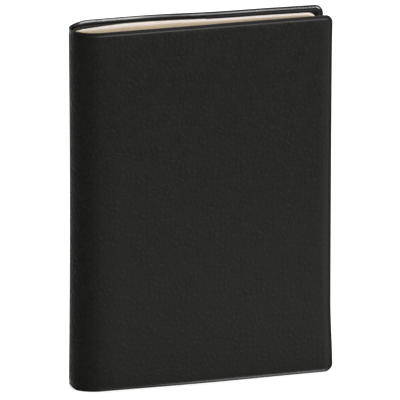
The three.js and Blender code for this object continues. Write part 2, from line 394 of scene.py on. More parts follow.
def cover_sheet(
    name, side, start, end, low, high, radii, rings, outer, inner, sink=None, paper=False
):
    """A closed sheet along the cover. outer and inner give the depth of its faces, from the distance to
    the rim and the length along the cover."""
    flat, faces, border = grid_and_rings(start, end, low, high, radii, rings)
    lengths, heights, distance = flat.T
    length, place, inward = cover_lines[side]
    at = np.stack([np.interp(lengths, length, place[:, i]) for i in (0, 1)], 1)
    into = np.stack([np.interp(lengths, length, inward[:, i]) for i in (0, 1)], 1)
    extra = sink(lengths) if sink else 0
    shells = []
    for depth in (outer(distance, lengths), inner(distance, lengths)):
        plan = at + into * (depth + extra)[:, None]
        shells.append(soften(np.column_stack([plan, heights]), paper))
    count = len(flat)
    back = [[i + count for i in reversed(face)] for face in faces]
    walls = [[b, a, a + count, b + count] for a, b in zip(border, border[1:] + border[:1])]
    places = np.tile(np.column_stack([side * lengths, heights]), (2, 1))
    piece = finish_mesh(name, np.concatenate(shells), faces + back + walls, places)
    rim = piece.data.attributes.new("rim", "FLOAT", "POINT")
    rim.data.foreach_set("value", np.tile(distance, 2).astype(np.float32))
    return piece


# %% [markdown]
# The skin is one bent piece on the real cover. Here it is two, which meet in the middle of the spine,
# one for each cover. A heated tool has pressed a rim
# all round, so the edge slopes in to a groove. Behind it the padding rises, first in a tight shoulder
# and then softly. That profile is a function of the distance to the rim: a smooth slope, a quarter of
# an ellipse, and a parabola. The inner face keeps a straight slope, for the lining to lie on.

# %% Cover skin
edge_drop = 0.24 * mm
spine_press = 0.3
press_start, press_full = 5 * mm, 13 * mm
slope_width = 1.1 * mm
skin_edge = 0.45 * skin_thickness
edge_rings = [ring * mm for ring in (0, 0.03, 0.08, 0.15, 0.22, 0.36, 0.52, 0.7, 0.9, 1.1)]
groove_rings = [rim_width + ring * mm for ring in (0, 0.01, 0.04, 0.1, 0.2, 0.35, 0.5, 0.75, 1.2)]
sides = {"front": -1, "back": 1}
cover_end = {side: cover_lines[side][0][-1] for side in (-1, 1)}


def pressed(length):
    """How deep the rim is pressed: fully on the flat covers, and little round the spine."""
    return spine_press + (1 - spine_press) * smooth_step(press_start, press_full, length)


def padded_depth(distance, length):
    """Depth of the skin behind the groove."""
    tight = 1 - np.clip((distance - rim_width) / shoulder_width, 0, 1)
    soft = 1 - np.clip((distance - rim_width) / pillow_width, 0, 1)
    depth = shoulder_drop * (1 - np.sqrt(1 - tight**2)) + (rim_drop - shoulder_drop) * soft**2
    return depth * pressed(length)


def rim_slope(distance, length):
    """Depth of the rim's inner face under the padded level. It stays at the groove's depth further in."""
    slope = edge_drop + (rim_drop - edge_drop) * np.clip(distance / rim_width, 0, 1)
    return slope * pressed(length)


def skin_outer(distance, length):
    slope = edge_drop + (rim_drop - edge_drop) * smooth_step(0, slope_width, distance)
    depth = np.where(distance < rim_width, slope * pressed(length), padded_depth(distance, length))
    return depth + round_over(distance, skin_edge)


def skin_inner(distance, length):
    slope = rim_slope(distance, length)
    depth = np.where(distance < rim_width, slope, padded_depth(distance, length))
    return depth + skin_thickness - round_over(distance, skin_edge)


def cover_layer(name, layer, rings, faces, start=0, margin=0):
    """A layer of the front or back cover, up to a margin from the cover's three free edges."""
    side = sides[name]
    return cover_sheet(
        f"{name}_{layer}", side, start, cover_end[side] - margin, margin, cover_height - margin,
        corner_radii[name], rings, *faces,
    )


skins = {}
for name in sides:
    skins[name] = cover_layer(name, "skin", edge_rings + groove_rings, (skin_outer, skin_inner))
    print(skins[name].name, len(skins[name].data.polygons), "faces")

# %% [markdown]
# The bend of a real cover takes a few millimetres, and the frame turns each cover about one line just
# outside the skin. The helper finds the point of the cover line nearest that line, and bakes the
# piece's place into its mesh; the piece itself is not blended.


def bend_at_hinge(piece, name):
    """Finds the point of the cover line nearest the cover's hinge, and bakes the piece's place into its mesh."""
    side = sides[name]
    pivot = Vector(joints[f"{name}_cover_open"]["pos_m"])
    length, place, inward = cover_lines[side]
    nearest = np.argmin(np.linalg.norm(place - np.array(pivot[:2]), axis=1))
    on_line = Vector((*place[nearest], 0))
    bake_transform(piece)


# %% [markdown]
# Under the skin lie the foam, which only pads the middle, and a thin film as lining. At the rim the
# film lies on the skin and slopes with it, and from there on it runs flat over the foam. The pocket
# flap is one more film, welded to the lining along the head, the tail and the fore-edge, and open
# towards the spine. It lifts over the card just where the card begins.

# %% Foam, lining and pocket flap
film_rings = [ring * mm for ring in (0, 0.03, 0.08, 0.3, 0.7, 1.1, 1.2)]
film_rings += [ring * mm for ring in (1.4, 1.6, 1.8, 2.0, 2.2, 2.4, 2.6)]
film_edge = 0.4 * film_thickness
weld_end = 1.3 * mm
over_card = 2.1 * mm
foam_margin = 2.05 * mm
foam_rings = [0, 0.3 * mm]
foam_thickness = rim_drop - 3 * touch


def foam_face(distance, length):
    return skin_thickness + 2 * touch


def lining_face(distance, length):
    return rim_slope(distance, length) + skin_thickness + touch


def flap_face(distance, length):
    on_lining = lining_face(distance, length) + film_thickness + touch
    full_depth = flap_inside_depth - film_thickness
    return on_lining + (full_depth - on_lining) * smooth_step(weld_end, over_card, distance)


foam_faces = layer_faces(foam_face, foam_thickness, 0)
lining_faces = layer_faces(lining_face, film_thickness, film_edge)
flap_faces = layer_faces(flap_face, film_thickness, film_edge)
foams, linings, flaps = {}, {}, {}
for name, side in sides.items():
    hinge_length = length_at_x(side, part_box(f"{name}_cover_foam")[0].x)
    flap_start = length_at_x(side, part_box(f"{name}_pocket_flap")[0].x)
    foams[name] = cover_layer(name, "foam", foam_rings, foam_faces, hinge_length, foam_margin)
    linings[name] = cover_layer(name, "lining", film_rings, lining_faces)
    flaps[name] = cover_layer(name, "flap", film_rings, flap_faces, flap_start)
print(len(foams), "foam pads,", len(linings), "linings and", len(flaps), "flaps")

# %% [markdown]
# The refill has a thin card that wraps its back and goes into both pockets. It is two halves here as
# well, for the same reason as the skin. It stands a little proud of the pages at head and foot. Over
# the card lies the endpaper, which leaves it near the spine. The flyleaf lies loose on the pages and
# turns with the first or the last section. The rear sections are pinched where they are sewn, so the
# rear endpaper and flyleaf dip towards the folds.

# %% Card, endpapers and flyleaves
paper_low, paper_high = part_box("refill_front_card")
card_thickness = 0.3 * mm
endpaper_thickness = 0.1 * mm
page_corner = 3.5 * mm
page_trim = 0.6 * mm
card_rise = 0.35 * mm
sheet_rings = [ring * mm for ring in (0, 0.05, 0.4, 3)]
spine_card_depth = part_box("refill_spine_card")[0].x - spine_x
endpaper_reach = 4.5 * mm
gutter_dips = {"front": 0, "back": 2.9 * mm}
gutter_start_x, gutter_end_x = spine_x + 6 * mm, spine_x + 27 * mm


def gutter(x):
    """1 at the folds, where the rear sections are pinched, and 0 on the flat."""
    return 1 - smooth_step(gutter_start_x, gutter_end_x, x)


def flat_sheet(name, side, start, end, depth, thickness, sink, rise=0):
    """A sheet of card or paper of even thickness. It stands proud of the pages by its rise."""
    faces = layer_faces(lambda distance, length: depth, thickness, 0.3 * thickness)
    return cover_sheet(
        name, side, start, end, paper_low.z - rise, paper_high.z + rise,
        (page_corner, page_corner), sheet_rings, *faces, sink, paper=True,
    )


cards, endpapers, flyleaves = {}, {}, {}
for name, side in sides.items():
    card_end = length_at_x(side, paper_high.x)
    sheet_end = card_end - page_trim
    flat_start = length_at_x(side, flat_x)

    def to_spine_card(lengths):
        return (spine_card_depth - card_depth) * (1 - smooth_step(0, flat_start, lengths))

    def to_folds(lengths):
        return gutter_dips[name] * gutter(x_at_length(side, lengths))

    cards[name] = flat_sheet(
        f"{name}_card", side, 0, card_end, card_depth, card_thickness, to_spine_card, card_rise
    )
    endpapers[name] = flat_sheet(
        f"{name}_endpaper_sheet", side, flat_start - endpaper_reach, sheet_end, endpaper_depth,
        endpaper_thickness, to_folds,
    )
    flyleaves[name] = flat_sheet(
        f"{name}_flyleaf_sheet", side, flat_start, sheet_end, flyleaf_depth, endpaper_thickness,
        to_folds,
    )
print("paper", round((paper_high.z - paper_low.z) / mm, 1), "mm high")


# %% [markdown]
# The refill is twelve sections of six folded sheets. A section is quickly made leaf by leaf in
# Geometry Nodes: one folded sheet is laid out flat, six copies of it are made on points, and a Set
# Position node wraps each round the fold with its own radius and brings the leaves closer together
# towards the fore-edge. The same tree makes all twelve sections, with another seed, thickness and
# paper tone, which also sets how much painted shadow the section's edges get.

# %% Node tree for one section
sheets = 6
paper_share = 0.82
fold_steps = 6
leaf_step = 6 * mm
fold_fine = 10 * mm
fine_step = 1 * mm
page_levels = 6
page_corner_steps = 6


def folded_sheet(length, height, corner, thickness):
    """One sheet laid flat: x from the fold to the fore-edge, twice, with a round corner at each end."""
    near = spaced(0, fold_fine, fine_step)[:-1]
    far = spaced(fold_fine, length - corner, leaf_step)[:-1]
    turns = np.linspace(0, math.pi / 2, page_corner_steps + 1)
    half = [(x, 0, 0) for x in near + far]
    half += [(length - corner * (1 - math.sin(t)), 0, corner * (1 - math.cos(t))) for t in turns]
    fold = [(0, i / fold_steps, 0) for i in range(fold_steps, 0, -1)]
    columns = [(-1, *c) for c in reversed(half)] + [(-1, *c) for c in reversed(fold)]
    columns += [(1, *c) for c in fold[1:]] + [(1, *c) for c in half]
    levels = np.linspace(0, 1, page_levels + 1)
    points, turn, side = [], [], []
    for face_y in (thickness / 2, -thickness / 2):
        for leaf_side, x, fold_turn, inset in columns:
            for level in levels:
                points.append((x, face_y, inset + (height - 2 * inset) * level))
                turn.append(fold_turn)
                side.append(leaf_side)
    rows, count = len(levels), len(columns) * len(levels)
    faces = []
    for i in range(len(columns) - 1):
        for j in range(rows - 1):
            a = i * rows + j
            faces.append([a, a + 1, a + rows + 1, a + rows])
            faces.append([count + a, count + a + rows, count + a + rows + 1, count + a + 1])
    flat_faces = len(faces)
    for i in range(len(columns) - 1):
        for j, flip in ((0, False), (rows - 1, True)):
            a, b = i * rows + j, (i + 1) * rows + j
            wall = [a, b, count + b, count + a]
            faces.append(wall[::-1] if flip else wall)
    for j in range(rows - 1):
        first, last = j, (len(columns) - 1) * rows + j
        faces.append([first + 1, first, count + first, count + first + 1])
        faces.append([last, last + 1, count + last + 1, count + last])
    mesh = bpy.data.meshes.new("folded sheet")
    mesh.from_pydata(points, [], faces)
    cut = [i >= flat_faces for i in range(len(faces))]
    for label, kind, domain, values in (
        ("turn", "FLOAT", "POINT", turn), ("side", "FLOAT", "POINT", side), ("cut", "BOOLEAN", "FACE", cut)
    ):
        mesh.attributes.new(label, kind, domain).data.foreach_set("value", values)
    write_map(mesh, "page", np.array(points)[:, [0, 2]])
    return bpy.data.objects.new("folded sheet", mesh)


class Nodes:
    """Adds nodes to a tree, sets their inputs and links them, all in one call."""

    def __init__(self, tree):
        self.tree = tree

    def add(self, kind, inputs=None, **settings):
        node = self.tree.nodes.new(kind)
        for key, value in settings.items():
            setattr(node, key, value)
        for key, value in (inputs or {}).items():
            if isinstance(value, bpy.types.NodeSocket):
                self.tree.links.new(value, node.inputs[key])
            else:
                node.inputs[key].default_value = value
        return node

    def math(self, operation, *values, clamp=False):
        """The result of a Math node. Values are numbers or outputs of other nodes."""
        inputs = dict(enumerate(values))
        return self.add("ShaderNodeMath", inputs, operation=operation, use_clamp=clamp).outputs[0]

    def plus(self, first, second):
        return self.math("ADD", first, second)

    def minus(self, first, second):
        return self.math("SUBTRACT", first, second)

    def times(self, *factors):
        """The product of any number of values."""
        result = factors[0]
        for factor in factors[1:]:
            result = self.math("MULTIPLY", result, factor)
        return result

    def parts(self, vector):
        """The x, y and z of a vector."""
        return self.add("ShaderNodeSeparateXYZ", {0: vector}).outputs

    def arrange(self):
        """Places the nodes in columns, by how far each is from the end of the tree."""
        depth = {}

        def visit(node, level):
            if depth.get(node, -1) < level:
                depth[node] = level
                for socket in node.inputs:
                    for link in socket.links:
                        visit(link.from_node, level + 1)

        ends = [n for n in self.tree.nodes if not any(o.is_linked for o in n.outputs)]
        for end in ends:
            visit(end, 0)
        rows = {}
        for node, level in depth.items():
            rows[level] = rows.get(level, 0) + 1
            node.location = (-260 * level, -220 * rows[level])


tone_spread = 0.1


def section_tree():
    tree = bpy.data.node_groups.new("sewn section", "GeometryNodeTree")
    tree.is_modifier = True
    entries = [
        ("Sheet", "NodeSocketObject"), ("Sheets", "NodeSocketInt"),
        ("Pitch at the fold", "NodeSocketFloat"), ("Pitch at the fore-edge", "NodeSocketFloat"),
        ("Leaf length", "NodeSocketFloat"), ("Looseness", "NodeSocketFloat"),
        ("Tone", "NodeSocketFloat"), ("Seed", "NodeSocketInt"),
        ("Page", "NodeSocketMaterial"), ("Cut edge", "NodeSocketMaterial"),
    ]
    sockets = {}
    for name, kind in entries:
        sockets[name] = tree.interface.new_socket(name, in_out="INPUT", socket_type=kind)
    tree.interface.new_socket("Geometry", in_out="OUTPUT", socket_type="NodeSocketGeometry")
    n = Nodes(tree)
    given = n.add("NodeGroupInput").outputs
    sheet = n.add("GeometryNodeObjectInfo", {"Object": given["Sheet"]}).outputs["Geometry"]
    points = n.add("GeometryNodePoints", {"Count": given["Sheets"]}).outputs[0]
    copies = n.add("GeometryNodeInstanceOnPoints", {"Points": points, "Instance": sheet}).outputs[0]

    def stored(geometry, name, value):
        """The copies with one more number on each."""
        inputs = {"Geometry": geometry, "Name": name, "Value": value}
        settings = {"data_type": "FLOAT", "domain": "INSTANCE"}
        return n.add("GeometryNodeStoreNamedAttribute", inputs, **settings).outputs[0]

    def named(name, kind="FLOAT"):
        return n.add("GeometryNodeInputNamedAttribute", {"Name": name}, data_type=kind).outputs[0]

    chance = n.add("FunctionNodeRandomValue", {"Seed": given["Seed"]}, data_type="FLOAT").outputs[1]
    spread = n.minus(chance, 0.5)
    numbered = stored(copies, "number", n.add("GeometryNodeInputIndex").outputs[0])
    shifted = stored(numbered, "shift", spread)
    toned = stored(shifted, "tone", n.plus(given["Tone"], n.times(spread, tone_spread)))
    leaves = n.add("GeometryNodeRealizeInstances", {"Geometry": toned}).outputs[0]
    place = n.parts(n.add("GeometryNodeInputPosition").outputs[0])
    along = n.math("DIVIDE", place["X"], given["Leaf length"], clamp=True)
    pitch_change = n.minus(given["Pitch at the fore-edge"], given["Pitch at the fold"])
    pitch = n.plus(given["Pitch at the fold"], n.times(along, pitch_change))
    radius = n.plus(n.times(n.plus(named("number"), 0.5), pitch), place["Y"])
    angle = n.times(named("turn"), math.pi / 2)
    around_x = n.times(radius, n.math("SINE", angle))
    around_y = n.times(radius, n.math("COSINE", angle))
    loose = n.times(named("shift"), given["Looseness"], along)
    moved_x = n.plus(n.minus(place["X"], around_x), loose)
    moved = {"X": moved_x, "Y": n.times(around_y, named("side")), "Z": n.plus(place["Z"], loose)}
    position = n.add("ShaderNodeCombineXYZ", moved).outputs[0]
    wrapped = n.add("GeometryNodeSetPosition", {"Geometry": leaves, "Position": position}).outputs[0]
    paged = n.add("GeometryNodeSetMaterial", {"Geometry": wrapped, "Material": given["Page"]}).outputs[0]
    inputs = {"Geometry": paged, "Selection": named("cut", "BOOLEAN"), "Material": given["Cut edge"]}
    finished = n.add("GeometryNodeSetMaterial", inputs).outputs[0]
    n.add("NodeGroupOutput", {"Geometry": finished})
    n.arrange()
    return tree, {name: socket.identifier for name, socket in sockets.items()}


section_nodes, section_inputs = section_tree()
print(len(section_nodes.nodes), "nodes in the tree")

# %% [markdown]
# Each section is made in place: the tree gives its leaves round its own fold, and every point then
# takes its section's share of the block. The sections lie side by side from the front cover to the
# rear one, thinner towards the fore-edge, and follow the swelling of the rear cover by their depth.

# %% The twelve sections of pages
section_names = [f"{i:02}" for i in range(1, 13)]
section_gap = 0.12 * mm
block_front_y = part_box("page_section_01")[0].y
looseness = 0.12 * mm


def block_back_y(x):
    return back_line_y(x) - block_depth * math.hypot(1, back_slope)


def section_thickness(x):
    gaps = (len(section_names) - 1) * section_gap
    return (block_back_y(x) - block_front_y - gaps) / len(section_names)


def section_middle_y(number, x):
    """Middle of a section. number counts from 0 at the front."""
    return block_front_y + (number + 0.5) * section_thickness(x) + number * section_gap


def settle(points):
    """Moves points of the sewn block with the swelling of the rear cover and the pinch at the folds."""
    x, y, z = points.T
    share = (y - block_front_y) / (block_back_y(x) - block_front_y)
    y = y + belly(x) * share - gutter_dips["back"] * gutter(x) * share**2
    return soften(np.column_stack([x, y, z]), paper=True)


def points_of(mesh):
    points = np.zeros(3 * len(mesh.vertices))
    mesh.vertices.foreach_get("co", points)
    return points.reshape(-1, 3)


def bend_at_fold(piece):
    """Bakes the paper's place into its mesh."""
    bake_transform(piece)


page_material = bpy.data.materials.new("ruled page")
cut_material = bpy.data.materials.new("cut page edge")
sections = {}
for number, name in enumerate(section_names):
    tip_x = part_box(f"section_fold_{name}")[0].x
    fold_x = tip_x + section_thickness(tip_x) / 2
    leaf_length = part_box(f"page_section_{name}")[1].x - page_trim - fold_x
    pitches = [section_thickness(x) / (2 * sheets) for x in (fold_x, fold_x + leaf_length)]
    flat_leaf = folded_sheet(
        leaf_length, paper_high.z - paper_low.z, page_corner, paper_share * pitches[1]
    )
    maker = add_object(f"pages_section_{name}", bpy.data.meshes.new(f"pages_section_{name}"))
    modifier = maker.modifiers.new("leaves", "NODES")
    modifier.node_group = section_nodes
    values = {
        "Sheet": flat_leaf, "Sheets": sheets, "Pitch at the fold": pitches[0],
        "Pitch at the fore-edge": pitches[1], "Leaf length": leaf_length,
        "Looseness": looseness, "Tone": number / (len(section_names) - 1), "Seed": number,
        "Page": page_material, "Cut edge": cut_material,
    }
    for key, value in values.items():
        modifier[section_inputs[key]] = value
    evaluated = maker.evaluated_get(bpy.context.evaluated_depsgraph_get())
    mesh = bpy.data.meshes.new_from_object(evaluated)
    mesh.materials.pop(index=0)
    bpy.data.objects.remove(maker)
    bpy.data.objects.remove(flat_leaf)
    x, y, z = points_of(mesh).T
    x = x + fold_x
    placed = settle(np.column_stack([x, y + section_middle_y(number, x), z + paper_low.z]))
    mesh.vertices.foreach_set("co", placed.ravel())
    mesh.update()
    mesh.set_sharp_from_angle(angle=sharp_angle)
    section = add_object(f"pages_section_{name}", mesh)
    bend_at_fold(section)
    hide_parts(f"section_fold_{name}", f"page_section_{name}")
    sections[name] = section
print(sum(len(s.data.polygons) for s in sections.values()), "faces of paper")

# %% [markdown]
# Glue, gauze and thread hold the folds together, so they have to take the same pinch. Each is its
# node's own mesh, copied and settled like the pages. They stay with the spine.

# %% Glue, gauze and thread
binding = {}
for node_name, node in frame["nodes"].items():
    kind = node_name.rstrip("_0123456789")
    if kind in ("spine_glue", "spine_gauze", "sewing_thread"):
        mesh = node.data.copy()
        mesh.transform(node.matrix_world)
        mesh.vertices.foreach_set("co", settle(points_of(mesh)).ravel())
        mesh.update()
        piece = add_object(f"pinched_{node_name}", mesh)
        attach(piece, "spine")
        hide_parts(node_name)
        binding[node_name] = piece
print(len(binding), "pieces of the binding")

# %% [markdown]
# Now the sheets replace the frame's nodes, which are hidden. Skin, lining, card and endpaper go
# through the hinge helper, and the flyleaves through the fold helper, which bake their places. Flap and
# foam end before the hinge, so they ride on the cover as they are, and get its body.

# %% Bodies of flap and foam, replaced nodes
for name in sides:
    lining, flap = linings[name], flaps[name]
    for piece in (skins[name], lining, cards[name], endpapers[name]):
        bend_at_hinge(piece, name)
    bend_at_fold(flyleaves[name])
    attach(flap, f"{name}_cover")
    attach(foams[name], f"{name}_cover")
    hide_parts("cover_spine_skin", f"{name}_cover_skin")
    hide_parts("cover_spine_lining", f"{name}_cover_lining")
    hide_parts(f"{name}_cover_foam")
    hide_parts(f"{name}_pocket_flap")
    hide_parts("refill_spine_card", f"refill_{name}_card")
    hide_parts(f"{name}_endpaper")
    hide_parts(f"{name}_flyleaf")

# %% [markdown]
# Materials start from small groups. Each group takes the sheet's flat map in metres and gives masks
# and heights, and the material decides what to do with them. The grain of the skin is a pattern of
# small pebbles of many sizes, a little taller than wide, with soft creases between them. It is
# stronger in some patches than in others.

# %% Shader groups
class Shading(Nodes):
    """Nodes for surfaces."""

    def ramp(self, value, low, high, to_low=0, to_high=1, kind="SMOOTHSTEP"):
        """A value that goes from one level to another between two places."""
        inputs = {0: value, 1: low, 2: high, 3: to_low, 4: to_high}
        return self.add("ShaderNodeMapRange", inputs, interpolation_type=kind).outputs[0]

    def vector(self, operation, first, second):
        inputs = {0: first, "Scale" if operation == "SCALE" else 1: second}
        return self.add("ShaderNodeVectorMath", inputs, operation=operation).outputs[0]

    def in_mm(self, place):
        return self.vector("MULTIPLY", place, (1000, 1000, 1000))

    def noise(self, place, scale, detail=2, roughness=0.5, result="Fac"):
        inputs = {"Vector": place, "Scale": scale, "Detail": detail, "Roughness": roughness}
        return self.add("ShaderNodeTexNoise", inputs).outputs[result]


def shader_group(name, inputs, outputs):
    """An empty shader group with its sockets, and a helper that adds nodes to it."""
    tree = bpy.data.node_groups.new(name, "ShaderNodeTree")
    for label, kind, value in inputs:
        socket = tree.interface.new_socket(label, in_out="INPUT", socket_type=kind)
        if value is not None:
            socket.default_value = value
    for label in outputs:
        tree.interface.new_socket(label, in_out="OUTPUT", socket_type="NodeSocketFloat")
    n = Shading(tree)
    return tree, n, n.add("NodeGroupInput").outputs


def grain_group():
    tree, n, given = shader_group(
        "pebble grain",
        [("Map", "NodeSocketVector", None), ("Pebble width", "NodeSocketFloat", 2.35),
         ("Pebble height", "NodeSocketFloat", 2.6), ("Uneven", "NodeSocketFloat", 1.2)],
        ["Height", "Crease shade", "Pebble"],
    )
    in_mm = n.in_mm(given["Map"])
    wander = n.vector("SUBTRACT", n.noise(in_mm, 0.45, result="Color"), (0.5, 0.5, 0.5))
    place = n.vector("ADD", in_mm, n.vector("SCALE", wander, given["Uneven"]))
    cell = n.add("ShaderNodeCombineXYZ", {0: given["Pebble width"], 1: given["Pebble height"], 2: 1.0})
    spot = n.vector("DIVIDE", place, cell.outputs[0])

    def pebbles(feature, result):
        inputs = {"Vector": spot, "Scale": 1, "Randomness": 1}
        settings = {"feature": feature, "voronoi_dimensions": "2D"}
        return n.add("ShaderNodeTexVoronoi", inputs, **settings).outputs[result]

    edge = pebbles("DISTANCE_TO_EDGE", "Distance")
    fine = n.noise(in_mm, 1.1, 3)
    strength = n.ramp(n.noise(in_mm, 0.17), 0.35, 0.68, 0.55, 1.45)
    height = n.times(n.plus(n.ramp(edge, 0, 0.5), n.times(fine, 0.6)), strength)
    # Painted shade: this crease mask darkens the skin's colour in the creases.
    crease_shade = n.times(n.ramp(edge, 0.02, 0.12, 0.8, 0), strength)
    pebble = n.parts(pebbles("F1", "Color"))[0]
    n.add("NodeGroupOutput", {"Height": height, "Crease shade": crease_shade, "Pebble": pebble})
    n.arrange()
    return tree


def fibre_group():
    tree, n, given = shader_group(
        "paper fibre",
        [("Map", "NodeSocketVector", None), ("Coarseness", "NodeSocketFloat", 1.0)],
        ["Height", "Cloud"],
    )
    place = n.vector("SCALE", n.in_mm(given["Map"]), given["Coarseness"])
    strands = n.noise(n.vector("MULTIPLY", place, (1, 3.2, 1)), 2.6, 3, 0.6)
    cloud = n.noise(place, 0.14, 4, 0.55)
    n.add("NodeGroupOutput", {"Height": strands, "Cloud": cloud})
    n.arrange()
    return tree


pebble_grain = grain_group()
paper_fibre = fibre_group()
print("groups:", pebble_grain.name, "and", paper_fibre.name)

# %% [markdown]
# Colours are written as they look in daylight and turned into the linear values that the shader
# needs. A material is one principled surface. Its helper takes the things all of them share, and
# each material then links what makes it special.

# %% Helpers for materials
def daylight(red, green, blue):
    """Linear colour from the 0 to 255 values seen on a screen."""
    def linear(value):
        part = value / 255
        return part / 12.92 if part <= 0.04045 else ((part + 0.055) / 1.055) ** 2.4

    return (linear(red), linear(green), linear(blue), 1)


class Surface(Shading):
    """A material with one principled surface, ready for more nodes."""

    def __init__(self, name, colour, roughness, gloss=0.5, material=None):
        self.material = material or bpy.data.materials.new(name)
        self.material.use_nodes = True
        super().__init__(self.material.node_tree)
        self.tree.nodes.clear()
        self.shader = self.add("ShaderNodeBsdfPrincipled")
        self.shader.inputs["Base Color"].default_value = colour
        self.shader.inputs["Roughness"].default_value = roughness
        self.shader.inputs["Specular IOR Level"].default_value = gloss
        self.add("ShaderNodeOutputMaterial", {"Surface": self.shader.outputs[0]})

    def link(self, value, name):
        self.tree.links.new(value, self.shader.inputs[name])

    def group(self, tree, **inputs):
        return self.add("ShaderNodeGroup", inputs, node_tree=tree).outputs

    def flat_map(self, name="flat"):
        return self.add("ShaderNodeUVMap", uv_map=name).outputs[0]

    def place_in_mm(self):
        return self.in_mm(self.add("ShaderNodeTexCoord").outputs["Object"])

    def blend(self, share, first, second):
        inputs = {0: share, 6: first, 7: second}
        return self.add("ShaderNodeMix", inputs, data_type="RGBA").outputs[2]

    def attribute(self, name):
        return self.add("ShaderNodeAttribute", attribute_name=name).outputs["Fac"]

    def finish(self, colour, height, depth, strength=1.0):
        """Links the colour and the bump, and gives the material."""
        inputs = {"Height": height, "Distance": depth, "Strength": strength}
        self.link(self.add("ShaderNodeBump", inputs).outputs[0], "Normal")
        self.link(colour, "Base Color")
        self.arrange()
        return self.material


# %% [markdown]
# The skin is matt. Its pebbles differ a little in tone and gloss, and the creases are painted a deeper
# black as shade. Painted light makes it a little greyer towards the foot and the fore-edge. Where the tool pressed
# the rim, the grain is almost gone and the skin is glossier, most of all along the groove. The groove
# shines little along the fore-edge and not at all round the spine, and at the foot the shine is a
# faint line halfway down the rim.

# %% Skin
flat_gloss, round_gloss = 0.07, 0.045
groove_gloss, rim_gloss, foot_gloss = 0.8, 0.065, 0.24
groove_middle = rim_width + 0.04 * mm
groove_part = (7 * mm, 20 * mm)
flat_part = (8 * mm, 26 * mm)
foot_line_part = (28 * mm, 60 * mm)
corner_part = (cover_end[-1] - 2.6 * mm, cover_end[-1] - 1.8 * mm)
lit_edge_part = (cover_end[-1] - 6 * mm, cover_end[-1] - 2 * mm)
foot_part = (3 * mm, 6 * mm)
head_part = (0.64 * cover_height, 0.84 * cover_height)


def skin_gloss(m, rim, length, from_foot):
    """The skin's gloss, by the distances to the rim, from the spine's middle and from the foot."""
    on_flat = m.ramp(length, *flat_part)
    before_corner = m.ramp(length, *corner_part, 1, 0.12)
    off_groove = m.math("ABSOLUTE", m.minus(rim, groove_middle))
    groove = m.times(m.ramp(off_groove, 0.08 * mm, 0.3 * mm, groove_gloss, 0), before_corner)
    groove = m.times(groove, m.ramp(length, *groove_part))
    on_rim = m.times(m.ramp(rim, rim_width, rim_width + 0.5 * mm, rim_gloss, 0), on_flat)
    foot_line = m.times(
        m.ramp(rim, 0.2 * mm, 0.6 * mm), m.ramp(rim, 0.95 * mm, 1.4 * mm, foot_gloss, 0),
        m.ramp(from_foot, *foot_part, 1, 0), m.ramp(length, *foot_line_part), before_corner,
    )
    off_foot = m.ramp(from_foot, *foot_part, 0.25, 1)
    pressed_gloss = m.plus(m.times(m.plus(groove, on_rim), off_foot), foot_line)
    return m.plus(pressed_gloss, m.ramp(on_flat, 0, 1, round_gloss, flat_gloss, "LINEAR"))


def skin_colour(m, grain, padded_part, length, from_foot):
    """Black with painted shade in the creases, and painted lighter towards the foot and the fore-edge."""
    # The creases are painted darker as shade; the pebbles differ in tone at random.
    shade = m.plus(m.times(grain["Crease shade"], 0.6), m.times(grain["Pebble"], 0.3))
    grained = m.blend(shade, daylight(27, 27, 25), daylight(13, 13, 11))
    # Painted light: the skin is painted lighter towards the foot and the fore-edge.
    painted_light_to_foot = m.ramp(from_foot, 0.9 * cover_height, 0, 0, 0.5)
    painted_light_at_edge = m.ramp(from_foot, 0.9 * cover_height, 0.3 * cover_height, 0.4, 1)
    painted_light = m.math("MAXIMUM", painted_light_to_foot, m.times(m.ramp(length, *lit_edge_part), painted_light_at_edge))
    painted_light_share = m.times(painted_light, padded_part, m.ramp(length, *flat_part))
    return m.blend(painted_light_share, grained, daylight(40, 40, 38))


def skin_material():
    m = Surface("pebbled black skin", daylight(33, 33, 31), 0.5, flat_gloss)
    flat = m.flat_map()
    grain = m.group(pebble_grain, Map=flat)
    rim = m.attribute("rim")
    from_spine, from_foot, _ = m.parts(flat)
    length = m.math("ABSOLUTE", from_spine)
    m.link(skin_gloss(m, rim, length, from_foot), "Specular IOR Level")
    uneven = m.ramp(grain["Pebble"], 0, 1, -0.03, 0.03, "LINEAR")
    m.link(m.plus(uneven, m.ramp(rim, rim_width, 2 * rim_width, 0.32, 0.5)), "Roughness")
    padded_part = m.ramp(rim, 0.7 * rim_width, 1.5 * rim_width)
    on_rim = m.plus(m.times(padded_part, 0.8), 0.2)
    height = m.times(grain["Height"], on_rim, m.ramp(from_foot, *head_part, 1, 0.74))
    return m.finish(skin_colour(m, grain, padded_part, length, from_foot), height, 0.15 * mm)


# %% [markdown]
# The film inside is smoother and wears in wide soft patches. Between the edge and the groove the tool
# has pressed a glossy band into it, which narrows towards the fore-edge and ends just before it. The
# flap's weld shows as fine ribs across the rim. The foam is a field of small cells.

# %% Film and foam
plain_gloss, band_gloss = 0.06, 0.6
narrowing_part = (35 * mm, 60 * mm)
band_low, band_high = (0.2 * mm, 0.4 * mm), (0.85 * mm, 1.1 * mm)
weld_low, weld_high = (0.25 * mm, 0.35 * mm), (1.0 * mm, 1.15 * mm)
band_end = (0.9 * mm, 1.6 * mm)


